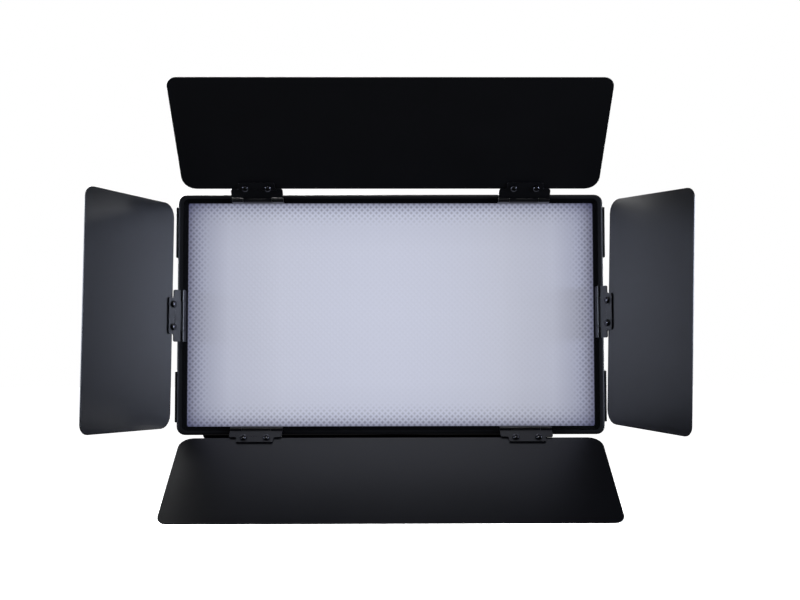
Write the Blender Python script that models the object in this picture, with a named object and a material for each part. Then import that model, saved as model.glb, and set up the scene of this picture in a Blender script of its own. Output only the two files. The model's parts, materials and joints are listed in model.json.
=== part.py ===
# LED panel light with four barn doors on a tilting stand receiver.
#
# Metres, +Z up, the light shines along -Y. The origin is the middle of the mouth of the
# stand receiver's socket. Three empties carry the pieces: "panel" lies in the middle of the
# front frame's face (x right, y up, z forward), "controls" on the back of the power case
# (x right as seen from behind, z backward), and one empty stands on each door's hinge pin
# (x along the pin, y out along the door, z out of the side of the door that faces the beam).

import math

import bmesh
import bpy
from mathutils import Matrix, Vector

MM = 0.001
GAP = 0.3 * MM  # between pieces that touch

# Front frame: a folded ring with a rounded shoulder, a bevelled mouth and a skirt behind.
FRAME_WIDTH = 420 * MM
FRAME_HEIGHT = 236.5 * MM
FRAME_DEPTH = 14 * MM
FRAME_RADIUS = 8.5 * MM
FRAME_SHOULDER = 2.5 * MM
FRAME_SKIRT = 1.6 * MM
WINDOW_WIDTH = FRAME_WIDTH - 18.5 * MM
WINDOW_HEIGHT = FRAME_HEIGHT - 16 * MM
WINDOW_RADIUS = 1.5 * MM
WINDOW_DEPTH = 8 * MM
MOUTH_BEVEL = 3.7 * MM
MOUTH_DEPTH = 3.2 * MM

# Light engine, from the front backward.
DIFFUSER_THICKNESS = 2 * MM
REFLECTOR_DEPTH = 23 * MM
REFLECTOR_WALL = 1 * MM
BOARD_THICKNESS = 1.6 * MM
SPREADER_THICKNESS = 3 * MM
SPREADER_MARGIN = 5 * MM
HOUSING_SPACE = 3.5 * MM  # behind the heat spreader
HOUSING_WALL = 1.6 * MM
HOUSING_EDGE = 2 * MM

# Vent slots through the back of the housing.
VENT_COUNT = 14
VENT_PITCH = 18 * MM
VENT_WIDTH = 4 * MM
VENT_LENGTH = 46 * MM
VENT_HEIGHT = 48 * MM  # above the panel's middle

# Power case on the back of the housing, which reaches below the frame.
CASE_LEFT = 192 * MM
CASE_RIGHT = 140 * MM
CASE_DROP = FRAME_HEIGHT / 2 + 8.75 * MM  # from the panel's middle down to the underside
CASE_HEIGHT = 82 * MM
CASE_DEPTH = 29.7 * MM
CASE_WALL = 1.8 * MM
CASE_RADIUS = 6 * MM
WIRE_HOLE_RADIUS = 6 * MM
DRIVER_MARGIN = 5 * MM
DRIVER_STANDOFF = 4 * MM
DRIVER_BLOCK_HEIGHT = 12 * MM
# Transformer and capacitor bank: offset from the case's middle, width, height.
DRIVER_BLOCKS = ((-90 * MM, 40 * MM, 36 * MM), (-20 * MM, 52 * MM, 30 * MM))

# Controls, placed from the middle of the control panel.
PANEL_PLATE_WIDTH = 190 * MM
PANEL_PLATE_HEIGHT = 56 * MM
PANEL_PLATE_THICKNESS = 1.5 * MM
PANEL_PLATE_RADIUS = 4 * MM
PANEL_PLATE_OFFSET = 84 * MM
DISPLAY_WIDTH = 52 * MM
DISPLAY_HEIGHT = 18 * MM
DISPLAY_RISE = 10 * MM
DISPLAY_THICKNESS = 1.2 * MM
KNOB_SPREAD = 62 * MM
KNOB_RADIUS = 9 * MM
KNOB_HEIGHT = 13 * MM
KNOB_SHAFT_RADIUS = 3 * MM
KNOB_SHAFT_LENGTH = 6 * MM
BUTTON_RADIUS = 4.5 * MM
BUTTON_DROP = 15 * MM
BUTTON_PROUD = 2 * MM
BUTTON_TRAVEL = 1 * MM
SWITCH_OFFSET = -46 * MM
SWITCH_HOLE_WIDTH = 22 * MM
SWITCH_HOLE_HEIGHT = 14 * MM
ROCKER_HEIGHT = 12.6 * MM
ROCKER_DEPTH = 8 * MM
ROCKER_TILT = math.radians(8)
INLET_OFFSET = -100 * MM
INLET_MOUTH_WIDTH = 24 * MM
INLET_MOUTH_HEIGHT = 16 * MM
INLET_MOUTH_DEPTH = 15 * MM
BLADE_LENGTH = 9 * MM
BLADE_WIDTH = 4 * MM
BLADE_THICKNESS = 2 * MM
BLADE_SPREAD = 7 * MM
FITTING_WALL = 2 * MM
FITTING_FLANGE = 3 * MM

# Barn doors: flat sheets on short hinges.
DOOR_THICKNESS = 1.2 * MM
DOOR_DEPTH = 120.5 * MM
LONG_DOOR_WIDTH = FRAME_WIDTH - 14 * MM
SIDE_DOOR_WIDTH = FRAME_HEIGHT - 20 * MM
LONG_DOOR_EDGE = 12.4 * MM  # from the hinge pin to the sheet's near edge
SIDE_DOOR_EDGE = 13.6 * MM
DOOR_NEAR_RADIUS = 13.5 * MM
DOOR_FAR_RADIUS = 9.5 * MM
TOP_DOOR_ANGLE = math.radians(43.2)  # forward of the frame's face
BOTTOM_DOOR_ANGLE = math.radians(57.6)
LEFT_DOOR_ANGLE = math.radians(63.6)
RIGHT_DOOR_ANGLE = math.radians(65.8)
LEFT_DOOR_SAG = math.radians(-0.9)  # turn of the sheet on its single hinge leaf, about the door's z
RIGHT_DOOR_SAG = math.radians(-2.3)

# Hinges.
PIN_INSET_LONG = 6.25 * MM  # from the frame's top or bottom edge to the pin
PIN_INSET_SIDE = 6 * MM
PIN_FORWARD = 3.5 * MM
PIN_RADIUS = 1 * MM
BARREL_RADIUS = 2.25 * MM
BARREL_BORE = PIN_RADIUS + 0.2 * MM
HINGE_LENGTH = 50.5 * MM
MIDDLE_KNUCKLE = 28 * MM
HINGE_SPREAD = 131 * MM
LEFT_HINGE_DROP = 1.8 * MM
RIGHT_HINGE_RISE = 1.6 * MM
LEAF_THICKNESS = 1.2 * MM
LEAF_FACE = 0.2 * MM  # the leaf's beam side, above the pin's axis
LEAF_REACH = 20.5 * MM
LEAF_SHOULDER = 13 * MM
TAB_WIDTH = 35.5 * MM
LEAF_CORNER = 2 * MM
SEAT_LEAF_DEPTH = 6.5 * MM  # how far the frame leaf goes in behind the frame's face

# Door screws.
SCREW_REACH = 14 * MM  # from the hinge pin
SCREW_SPREAD = 11 * MM
SCREW_SHANK = 1.5 * MM
SCREW_HEAD = 3.4 * MM
SCREW_HEAD_HEIGHT = 2.4 * MM
SCREW_TAIL = 1.2 * MM  # proud of the sheet's outer side
SCREW_PLAY = 0.3 * MM
SHEET_HOLE_PLAY = 0.7 * MM  # lets a sheet hang a little out of square

# Clips on the frame's sides.
CLIP_LENGTH = 50 * MM
CLIP_DEPTH = 10 * MM
CLIP_THICKNESS = 1.6 * MM
CLIP_RISE = 81 * MM
CLIP_START = 2 * MM
CLIP_RADIUS = 1.6 * MM
CLIP_SLOT = 3 * MM
CLIP_SLOT_LENGTH = 30 * MM

# Tilt bracket and stand receiver.
RECEIVER_RADIUS = 13 * MM
RECEIVER_HEIGHT = 46 * MM
SOCKET_RADIUS = 8.1 * MM  # for the 5/8 inch (16 mm) stud of a light stand
SOCKET_DEPTH = 36 * MM
SOCKET_CHAMFER = 1 * MM
TILT_AXIS_HEIGHT = 58 * MM
TONGUE_WIDTH = 16.6 * MM
TONGUE_RADIUS = 10 * MM
CHEEK_THICKNESS = 3 * MM
CHEEK_RADIUS = 10.5 * MM
FOOT_WIDTH = 60 * MM
FOOT_DEPTH = 27 * MM
FOOT_THICKNESS = 3 * MM
AXIS_TO_CASE = 17 * MM
BOLT_RADIUS = 3 * MM
BOLT_HEAD_RADIUS = 5.8 * MM
BOLT_HEAD_HEIGHT = 4 * MM
BOLT_PLAY = 0.3 * MM
TILT_KNOB_RADIUS = 13 * MM
TILT_KNOB_LENGTH = 14 * MM
TILT_KNOB_BORE = 11 * MM
CLAMP_HEIGHT = 20 * MM
CLAMP_KNOB_RADIUS = 10 * MM
CLAMP_KNOB_LENGTH = 12 * MM
CLAMP_NECK = 5 * MM

# Roundness.
CORNER_STEPS = 5
SMALL_STEPS = 12
ROUND_STEPS = 24
SMOOTH_ANGLE = math.radians(35)

# Places that follow from the sizes above.
SEAT_WIDTH = FRAME_WIDTH - 2 * FRAME_SKIRT
SEAT_HEIGHT = FRAME_HEIGHT - 2 * FRAME_SKIRT
SEAT_RADIUS = FRAME_RADIUS - FRAME_SKIRT
HOUSING_WIDTH = SEAT_WIDTH - 2 * GAP
HOUSING_HEIGHT = SEAT_HEIGHT - 2 * GAP
HOUSING_RADIUS = SEAT_RADIUS - GAP
INNER_WIDTH = HOUSING_WIDTH - 2 * HOUSING_WALL
INNER_HEIGHT = HOUSING_HEIGHT - 2 * HOUSING_WALL
INNER_RADIUS = HOUSING_RADIUS - HOUSING_WALL
DIFFUSER_FRONT = WINDOW_DEPTH + GAP
HOUSING_FRONT = DIFFUSER_FRONT + DIFFUSER_THICKNESS + GAP
BOARD_FRONT = HOUSING_FRONT + REFLECTOR_DEPTH + GAP
SPREADER_FRONT = BOARD_FRONT + BOARD_THICKNESS + GAP
HOUSING_FLOOR = SPREADER_FRONT + SPREADER_THICKNESS + HOUSING_SPACE
HOUSING_BACK = HOUSING_FLOOR + HOUSING_WALL
CASE_FRONT = HOUSING_BACK + GAP
CASE_BACK = CASE_FRONT + CASE_DEPTH
CASE_WIDTH = CASE_LEFT + CASE_RIGHT
CASE_MIDDLE_X = (CASE_RIGHT - CASE_LEFT) / 2
CASE_MIDDLE_Y = CASE_HEIGHT / 2 - CASE_DROP
PANEL_HEIGHT = TILT_AXIS_HEIGHT + AXIS_TO_CASE + CASE_DROP
PANEL_FORWARD = (CASE_FRONT + CASE_BACK) / 2  # the tilt axis lies under the case's middle
LONG_PIN = FRAME_HEIGHT / 2 - PIN_INSET_LONG
SIDE_PIN = FRAME_WIDTH / 2 - PIN_INSET_SIDE
LEAF_BACK = LEAF_FACE - LEAF_THICKNESS
KNUCKLE_GAP_END = MIDDLE_KNUCKLE / 2 + GAP
LEAF_START = BARREL_RADIUS + 1.5 * GAP


# ---- tools ---------------------------------------------------------------------------


def clear_scene():
    for obj in list(bpy.data.objects):
        bpy.data.objects.remove(obj)


def arc(centre, radius, start, end, steps):
    """Points on an arc, both ends included; the angles are in degrees."""
    turns = [math.radians(start + (end - start) * i / steps) for i in range(steps + 1)]
    return [(centre[0] + radius * math.cos(a), centre[1] + radius * math.sin(a)) for a in turns]


def circle(radius, steps=ROUND_STEPS, centre=(0, 0)):
    return arc(centre, radius, 0, 360 - 360 / steps, steps - 1)


def rounded(width, height, near_radius, far_radius=None, centre=(0, 0)):
    """A rectangle with rounded corners; near is its lower side."""
    far_radius = near_radius if far_radius is None else far_radius
    points = []
    for side_x, side_y, start in ((1, 1, 0), (-1, 1, 90), (-1, -1, 180), (1, -1, 270)):
        radius = far_radius if side_y > 0 else near_radius
        x = centre[0] + side_x * (width / 2 - radius)
        y = centre[1] + side_y * (height / 2 - radius)
        points += arc((x, y), radius, start, start + 90, CORNER_STEPS)
    return points


def rectangle(x_low, x_high, y_low, y_high):
    return [(x_low, y_low), (x_high, y_low), (x_high, y_high), (x_low, y_high)]


def hexagon(radius):
    """Six corners and the middles of the six sides, in step with a circle of twelve."""
    inner = radius * math.cos(math.radians(30))
    turns = [(radius if i % 2 == 0 else inner, math.radians(30 * i)) for i in range(SMALL_STEPS)]
    return [(r * math.cos(a), r * math.sin(a)) for r, a in turns]


def loops_mesh(name, loops, ring=False):
    """A closed body through loops of equal point count, each (points, z).

    A ring joins the last loop to the first one; otherwise both ends are capped.
    """
    bm = bmesh.new()
    made = [[bm.verts.new((x, y, z)) for x, y in points] for points, z in loops]
    pairs = list(zip(made, made[1:])) + ([(made[-1], made[0])] if ring else [])
    for low, high in pairs:
        for i in range(len(low)):
            bm.faces.new((low[i - 1], low[i], high[i], high[i - 1]))
    if not ring:
        bm.faces.new(made[0])
        bm.faces.new(made[-1])
    return to_mesh(bm, name)


def prism_mesh(name, outline, low, high):
    return loops_mesh(name, [(outline, low), (outline, high)])


def to_mesh(bm, name):
    bmesh.ops.recalc_face_normals(bm, faces=bm.faces)
    mesh = bpy.data.meshes.new(name)
    bm.to_mesh(mesh)
    bm.free()
    return mesh


def merged_mesh(name, meshes):
    """Several separate bodies in one mesh, for a cutter."""
    bm = bmesh.new()
    for mesh in meshes:
        bm.from_mesh(mesh)
    return to_mesh(bm, name)


def turned(mesh, matrix):
    mesh.transform(matrix)
    return mesh


def along_x(mesh):
    """Turns a mesh made along +z so that it runs along +x, with its x towards -z."""
    return turned(mesh, Matrix.Rotation(math.radians(90), 4, "Y"))


def shaped(mesh, *steps):
    """The mesh after Boolean steps, each (operation, other mesh)."""
    scratch = bpy.data.objects.new("scratch", mesh)
    bpy.context.scene.collection.objects.link(scratch)
    others = []
    for operation, other_mesh in steps:
        other = bpy.data.objects.new("cutter", other_mesh)
        bpy.context.scene.collection.objects.link(other)
        other.hide_render = True
        other.display_type = "WIRE"
        modifier = scratch.modifiers.new(operation.lower(), "BOOLEAN")
        modifier.operation = operation
        modifier.object = other
        others.append(other)
    graph = bpy.context.evaluated_depsgraph_get()
    result = bpy.data.meshes.new_from_object(scratch.evaluated_get(graph))
    result.name = mesh.name
    for obj in [scratch, *others]:
        bpy.data.objects.remove(obj)
    return result


def empty(name, location, rotation, parent=None):
    obj = bpy.data.objects.new(name, None)
    obj.matrix_world = Matrix.Translation(location) @ rotation.to_4x4()
    obj.parent = parent
    bpy.context.scene.collection.objects.link(obj)
    return obj


def piece(name, mesh, finish, parent=None, location=(0, 0, 0), turn=None):
    obj = bpy.data.objects.new(name, mesh)
    bpy.context.scene.collection.objects.link(obj)
    obj.parent = parent
    obj.location = location
    if turn is not None:
        obj.rotation_euler = turn
    mesh.shade_smooth()
    mesh.set_sharp_from_angle(angle=SMOOTH_ANGLE)
    coat(obj, name, finish)
    return obj


def coat(obj, name, finish):
    """Gives the object its own Principled material; finish is (colour, roughness, metallic)."""
    colour, roughness, metallic = finish
    material = bpy.data.materials.new(name)
    material.use_nodes = True
    shader = material.node_tree.nodes["Principled BSDF"]
    shader.inputs["Base Color"].default_value = (*colour, 1)
    shader.inputs["Roughness"].default_value = roughness
    shader.inputs["Metallic"].default_value = metallic
    if not obj.data.materials:
        obj.data.materials.append(material)
    obj.material_slots[0].link = "OBJECT"
    obj.material_slots[0].material = material


MATT_BLACK = ((0.012, 0.012, 0.014), 0.55, 0.0)
SHEET_BLACK = ((0.020, 0.020, 0.024), 0.48, 0.0)
DARK_STEEL = ((0.035, 0.035, 0.038), 0.35, 1.0)
PLASTIC_BLACK = ((0.018, 0.018, 0.018), 0.5, 0.0)
OPAL = ((0.56, 0.58, 0.68), 0.35, 0.0)
WHITE = ((0.85, 0.85, 0.84), 0.5, 0.0)
BOARD_GREEN = ((0.03, 0.16, 0.07), 0.45, 0.0)
ALUMINIUM = ((0.60, 0.61, 0.62), 0.35, 1.0)
SMOKED = ((0.01, 0.01, 0.012), 0.1, 0.0)


# ---- light engine --------------------------------------------------------------------


def front_frame(panel):
    window = rounded(WINDOW_WIDTH, WINDOW_HEIGHT, WINDOW_RADIUS)
    grown = 2 * MOUTH_BEVEL
    mouth = rounded(WINDOW_WIDTH + grown, WINDOW_HEIGHT + grown, WINDOW_RADIUS + MOUTH_BEVEL)
    seat = rounded(SEAT_WIDTH, SEAT_HEIGHT, SEAT_RADIUS)
    loops = [
        frame_loop(0, FRAME_DEPTH),
        frame_loop(0, FRAME_SHOULDER),
        frame_loop(FRAME_SHOULDER * (1 - math.cos(math.radians(45))), FRAME_SHOULDER * 0.3),
        frame_loop(FRAME_SHOULDER, 0),
        (mouth, 0),
        (window, -MOUTH_DEPTH),
        (window, -WINDOW_DEPTH),
        (seat, -WINDOW_DEPTH),
        (seat, -FRAME_DEPTH),
    ]
    ring = loops_mesh("front_frame", loops, ring=True)
    seats = merged_mesh("hinge_seats", [seat_mesh(*place) for place in hinge_places()])
    piece("front_frame", shaped(ring, ("DIFFERENCE", seats)), MATT_BLACK, panel)


def frame_loop(inset, depth):
    outline = rounded(FRAME_WIDTH - 2 * inset, FRAME_HEIGHT - 2 * inset, FRAME_RADIUS - inset)
    return outline, -depth


def seat_mesh(side, along):
    """The pocket in the window's wall that one frame leaf lies in."""
    half = HINGE_LENGTH / 2 + GAP
    long_side = side in ("top", "bottom")
    wall = LONG_PIN - WINDOW_HEIGHT / 2 if long_side else SIDE_PIN - WINDOW_WIDTH / 2
    back = PIN_FORWARD + SEAT_LEAF_DEPTH + GAP
    outer = leaf_outer_side() + GAP
    inner = -max(wall, BARREL_RADIUS) - LEAF_THICKNESS
    box = prism_mesh("seat", rectangle(-half, half, inner, outer), -back, 0)
    return turned(box, hinge_place(side, along))


def light_engine(panel):
    sheet = rounded(SEAT_WIDTH - 2 * GAP, SEAT_HEIGHT - 2 * GAP, SEAT_RADIUS - GAP)
    diffuser = prism_mesh("diffuser", sheet, -DIFFUSER_FRONT - DIFFUSER_THICKNESS, -DIFFUSER_FRONT)
    piece("diffuser", diffuser, OPAL, panel)

    outer = rounded(INNER_WIDTH - 2 * GAP, INNER_HEIGHT - 2 * GAP, INNER_RADIUS - GAP)
    wall = 2 * (GAP + REFLECTOR_WALL)
    inner = rounded(INNER_WIDTH - wall, INNER_HEIGHT - wall, INNER_RADIUS - GAP - REFLECTOR_WALL)
    front, back = -HOUSING_FRONT, -HOUSING_FRONT - REFLECTOR_DEPTH
    loops = [(outer, back), (outer, front), (inner, front), (inner, back)]
    piece("reflector_frame", loops_mesh("reflector_frame", loops, ring=True), WHITE, panel)

    board = prism_mesh("led_board", outer, -BOARD_FRONT - BOARD_THICKNESS, -BOARD_FRONT)
    piece("led_board", board, WHITE, panel)

    margin = 2 * (GAP + SPREADER_MARGIN)
    plate = rounded(INNER_WIDTH - margin, INNER_HEIGHT - margin, INNER_RADIUS - GAP)
    spreader = prism_mesh("heat_spreader", plate, -SPREADER_FRONT - SPREADER_THICKNESS, -SPREADER_FRONT)
    piece("heat_spreader", spreader, ALUMINIUM, panel)


def rear_housing(panel):
    inner = rounded(INNER_WIDTH, INNER_HEIGHT, INNER_RADIUS)
    outer = rounded(HOUSING_WIDTH, HOUSING_HEIGHT, HOUSING_RADIUS)
    edge = 2 * HOUSING_EDGE
    back = rounded(HOUSING_WIDTH - edge, HOUSING_HEIGHT - edge, HOUSING_RADIUS - HOUSING_EDGE / 2)
    loops = [
        (inner, -HOUSING_FLOOR),
        (inner, -HOUSING_FRONT),
        (outer, -HOUSING_FRONT),
        (outer, -HOUSING_BACK + HOUSING_EDGE),
        (back, -HOUSING_BACK),
    ]
    tray = loops_mesh("rear_housing", loops)
    cuts = merged_mesh("vents", [vent_mesh(i) for i in range(VENT_COUNT)] + [wire_hole_mesh()])
    piece("rear_housing", shaped(tray, ("DIFFERENCE", cuts)), MATT_BLACK, panel)


def vent_mesh(index):
    x = (index - (VENT_COUNT - 1) / 2) * VENT_PITCH
    slot = rounded(VENT_WIDTH, VENT_LENGTH, VENT_WIDTH / 2 - GAP, centre=(x, VENT_HEIGHT))
    return prism_mesh("vent", slot, -HOUSING_BACK - HOUSING_WALL, -HOUSING_FLOOR + HOUSING_WALL)


def wire_hole_mesh():
    hole = circle(WIRE_HOLE_RADIUS, SMALL_STEPS, (CASE_MIDDLE_X, CASE_MIDDLE_Y))
    return prism_mesh("wire_hole", hole, -HOUSING_BACK - HOUSING_WALL, -HOUSING_FLOOR + HOUSING_WALL)


# ---- power case and controls ---------------------------------------------------------


def power_case(panel):
    wall = 2 * CASE_WALL
    middle = (CASE_MIDDLE_X, CASE_MIDDLE_Y)
    inner = rounded(CASE_WIDTH - wall, CASE_HEIGHT - wall, CASE_RADIUS - CASE_WALL, centre=middle)
    outer = rounded(CASE_WIDTH, CASE_HEIGHT, CASE_RADIUS, centre=middle)
    edge = 2 * CASE_WALL
    back = rounded(CASE_WIDTH - edge, CASE_HEIGHT - edge, CASE_RADIUS - CASE_WALL / 2, centre=middle)
    loops = [
        (inner, CASE_WALL - CASE_BACK),
        (inner, -CASE_FRONT),
        (outer, -CASE_FRONT),
        (outer, CASE_WALL - CASE_BACK),
        (back, -CASE_BACK),
    ]
    cuts = merged_mesh("case_cuts", [turned(mesh, controls_matrix()) for mesh in case_cuts()])
    tray = loops_mesh("power_case", loops)
    piece("power_case", shaped(tray, ("DIFFERENCE", cuts)), MATT_BLACK, panel)


def case_cuts():
    """Holes in the case's back, in the controls' own axes."""
    low, high = -2 * CASE_WALL, CASE_WALL
    knobs = [circle(KNOB_SHAFT_RADIUS + 2 * GAP, SMALL_STEPS, place) for place in knob_places()]
    button = circle(BUTTON_RADIUS + 2 * GAP, SMALL_STEPS, button_place())
    outlines = [*knobs, button, switch_cut(), inlet_cut()]
    return [prism_mesh("cut", outline, low, high) for outline in outlines]


def controls_matrix():
    """From the controls' axes, which look out of the case's back, to the panel's axes."""
    turn = Matrix.Rotation(math.radians(180), 4, "Y")
    return Matrix.Translation((0, CASE_MIDDLE_Y, -CASE_BACK)) @ turn


def knob_places():
    return [(PANEL_PLATE_OFFSET - KNOB_SPREAD, 0), (PANEL_PLATE_OFFSET + KNOB_SPREAD, 0)]


def button_place():
    return PANEL_PLATE_OFFSET, -BUTTON_DROP


def fitting_outline(mouth_width, mouth_height, offset, extra):
    grown = 2 * (FITTING_WALL + extra)
    return rounded(mouth_width + grown, mouth_height + grown, FITTING_WALL, centre=(offset, 0))


def switch_cut():
    return fitting_outline(SWITCH_HOLE_WIDTH, SWITCH_HOLE_HEIGHT, SWITCH_OFFSET, GAP)


def inlet_cut():
    return fitting_outline(INLET_MOUTH_WIDTH, INLET_MOUTH_HEIGHT, INLET_OFFSET, GAP)


def driver_board(panel):
    margin = 2 * (CASE_WALL + DRIVER_MARGIN)
    front = -CASE_FRONT - DRIVER_STANDOFF
    middle = (CASE_MIDDLE_X, CASE_MIDDLE_Y)
    plate = rounded(CASE_WIDTH - margin, CASE_HEIGHT - margin, GAP, centre=middle)
    board = prism_mesh("driver_board", plate, front - BOARD_THICKNESS, front)
    low = front - BOARD_THICKNESS - DRIVER_BLOCK_HEIGHT
    blocks = []
    for offset, width, height in DRIVER_BLOCKS:
        outline = rounded(width, height, GAP, centre=(CASE_MIDDLE_X + offset, CASE_MIDDLE_Y))
        blocks.append(prism_mesh("block", outline, low, front - BOARD_THICKNESS / 2))
    populated = shaped(board, ("UNION", merged_mesh("blocks", blocks)))
    piece("driver_board", populated, BOARD_GREEN, panel)


def control_panel(controls):
    centre = (PANEL_PLATE_OFFSET, 0)
    plate = rounded(PANEL_PLATE_WIDTH, PANEL_PLATE_HEIGHT, PANEL_PLATE_RADIUS, centre=centre)
    top = GAP + PANEL_PLATE_THICKNESS
    window_centre = (PANEL_PLATE_OFFSET, DISPLAY_RISE)
    window = rounded(DISPLAY_WIDTH, DISPLAY_HEIGHT, CASE_WALL, centre=window_centre)
    knobs = [circle(KNOB_SHAFT_RADIUS + 2 * GAP, SMALL_STEPS, place) for place in knob_places()]
    button = circle(BUTTON_RADIUS + GAP, ROUND_STEPS, button_place())
    outlines = [window, *knobs, button]
    cuts = merged_mesh("cuts", [prism_mesh("cut", outline, -top, 2 * top) for outline in outlines])
    mesh = prism_mesh("control_panel", plate, GAP, top)
    piece("control_panel", shaped(mesh, ("DIFFERENCE", cuts)), PLASTIC_BLACK, controls)

    width, height, radius = DISPLAY_WIDTH - 2 * GAP, DISPLAY_HEIGHT - 2 * GAP, CASE_WALL - GAP
    glass = rounded(width, height, radius, centre=window_centre)
    pane = prism_mesh("display_window", glass, GAP, GAP + DISPLAY_THICKNESS)
    piece("display_window", pane, SMOKED, controls)


def knob_mesh():
    """A round knob with its shaft; z = 0 is the case's back."""
    low = 2 * GAP + PANEL_PLATE_THICKNESS
    loops = [
        (circle(KNOB_SHAFT_RADIUS), -KNOB_SHAFT_LENGTH),
        (circle(KNOB_SHAFT_RADIUS), low),
        (circle(KNOB_RADIUS), low),
        (circle(KNOB_RADIUS - 2 * GAP), low + KNOB_HEIGHT - 4 * GAP),
        (circle(KNOB_RADIUS - 6 * GAP), low + KNOB_HEIGHT),
    ]
    return loops_mesh("knob", loops)


def button_mesh():
    top = GAP + PANEL_PLATE_THICKNESS + BUTTON_PROUD
    loops = [
        (circle(BUTTON_RADIUS), -CASE_WALL - BUTTON_TRAVEL),
        (circle(BUTTON_RADIUS), top - GAP),
        (circle(BUTTON_RADIUS - 2 * GAP), top),
    ]
    return loops_mesh("mode_button", loops)


def controls_pieces(controls):
    for name, (x, y) in zip(("brightness_knob", "colour_knob"), knob_places()):
        piece(name, knob_mesh(), PLASTIC_BLACK, controls, (x, y, 0))
    x, y = button_place()
    piece("mode_button", button_mesh(), PLASTIC_BLACK, controls, (x, y, 0))


def fitting_loops(mouth_width, mouth_height, offset, depth):
    """The outside of a snap-in fitting: body behind the case's wall, flange in front of it."""
    body = fitting_outline(mouth_width, mouth_height, offset, 0)
    flange = fitting_outline(mouth_width, mouth_height, offset, FITTING_FLANGE)
    return [(body, -depth), (body, GAP), (flange, GAP), (flange, GAP + FITTING_WALL)]


def power_switch(controls):
    depth = ROCKER_DEPTH + 2 * FITTING_WALL
    loops = fitting_loops(SWITCH_HOLE_WIDTH, SWITCH_HOLE_HEIGHT, SWITCH_OFFSET, depth)
    body = loops_mesh("switch_bezel", loops)
    hole = rounded(SWITCH_HOLE_WIDTH, SWITCH_HOLE_HEIGHT, GAP, centre=(SWITCH_OFFSET, 0))
    cut = prism_mesh("hole", hole, -2 * depth, depth)
    piece("switch_bezel", shaped(body, ("DIFFERENCE", cut)), PLASTIC_BLACK, controls)

    half = ROCKER_HEIGHT / 2
    profile = [(-half, -ROCKER_DEPTH / 2), (half, -ROCKER_DEPTH / 2), (half, FITTING_WALL + GAP)]
    profile += [(0, FITTING_WALL / 2), (-half, FITTING_WALL + GAP)]
    width = SWITCH_HOLE_WIDTH / 2 - GAP
    mesh = prism_mesh("power_switch", profile, -width, width)
    # The profile's (x, y) becomes the rocker's (height, out), and its length runs across.
    mesh.transform(Matrix(((0, 0, 1, 0), (1, 0, 0, 0), (0, 1, 0, 0), (0, 0, 0, 1))))
    piece("power_switch", mesh, PLASTIC_BLACK, controls, (SWITCH_OFFSET, 0, 0), (-ROCKER_TILT, 0, 0))


def power_socket(controls):
    depth = INLET_MOUTH_DEPTH + FITTING_WALL
    loops = fitting_loops(INLET_MOUTH_WIDTH, INLET_MOUTH_HEIGHT, INLET_OFFSET, depth)
    body = loops_mesh("power_socket", loops)
    centre = (INLET_OFFSET, 0)
    mouth = rounded(INLET_MOUTH_WIDTH, INLET_MOUTH_HEIGHT, FITTING_WALL, centre=centre)
    top = GAP + FITTING_WALL
    floor = top - INLET_MOUTH_DEPTH
    cut = prism_mesh("mouth", mouth, floor, top + FITTING_WALL)
    blades = []
    for i, rise in ((-1, -1), (0, 1), (1, -1)):
        x, y = INLET_OFFSET + i * BLADE_SPREAD, rise * BLADE_WIDTH / 2
        width, height = BLADE_THICKNESS / 2, BLADE_WIDTH / 2
        outline = rectangle(x - width, x + width, y - height, y + height)
        blades.append(prism_mesh("blade", outline, floor - GAP, floor + BLADE_LENGTH))
    steps = [("DIFFERENCE", cut), ("UNION", merged_mesh("blades", blades))]
    piece("power_socket", shaped(body, *steps), PLASTIC_BLACK, controls)


# ---- hinges and doors ----------------------------------------------------------------


def side_turn(side):
    """Turns the top side's axes round to another side of the panel."""
    angle = {"top": 0, "left": 90, "bottom": 180, "right": -90}[side]
    return Matrix.Rotation(math.radians(angle), 4, "Z")


def hinge_place(side, along=0):
    """The matrix of a hinge: x along the pin, y away from the panel's middle, z forward."""
    out = LONG_PIN if side in ("top", "bottom") else SIDE_PIN
    return side_turn(side) @ Matrix.Translation((along, out, PIN_FORWARD))


def hinges_along(side):
    """Where the hinges of a side lie along its pin line."""
    rise = {"left": -LEFT_HINGE_DROP, "right": -RIGHT_HINGE_RISE}
    return [rise[side]] if side in rise else [-HINGE_SPREAD, HINGE_SPREAD]


def hinge_places():
    sides = ("top", "bottom", "left", "right")
    return [(side, along) for side in sides for along in hinges_along(side)]


def leaf_outer_side():
    """The frame leaf's side against the frame, from the pin's axis."""
    return -BARREL_RADIUS + GAP / 6 + LEAF_THICKNESS


def frame_leaf_mesh():
    """The fixed leaf: a plate down the window's wall with a knuckle at each end."""
    half = HINGE_LENGTH / 2
    inner, ear = KNUCKLE_GAP_END, GAP / 2
    bottom, notch = -PIN_FORWARD - SEAT_LEAF_DEPTH, -BARREL_RADIUS - 1.5 * GAP
    right = [(half - ear, bottom), (half - ear, 0), (inner + ear, 0), (inner + ear, notch)]
    outline = right + [(-x, y) for x, y in reversed(right)]
    outer = leaf_outer_side()
    plate = prism_mesh("frame_leaf", outline, -outer, LEAF_THICKNESS - outer)
    plate.transform(Matrix.Rotation(math.radians(90), 4, "X"))
    ends = ((-half, -inner), (inner, half))
    knuckles = [bar_mesh(BARREL_RADIUS, low, high) for low, high in ends]
    bore = bar_mesh(BARREL_BORE, -HINGE_LENGTH, HINGE_LENGTH)
    return shaped(plate, ("UNION", merged_mesh("knuckles", knuckles)), ("DIFFERENCE", bore))


def bar_mesh(radius, low, high, steps=16):
    """A round bar along x."""
    return along_x(prism_mesh("bar", circle(radius, steps), low, high))


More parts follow.
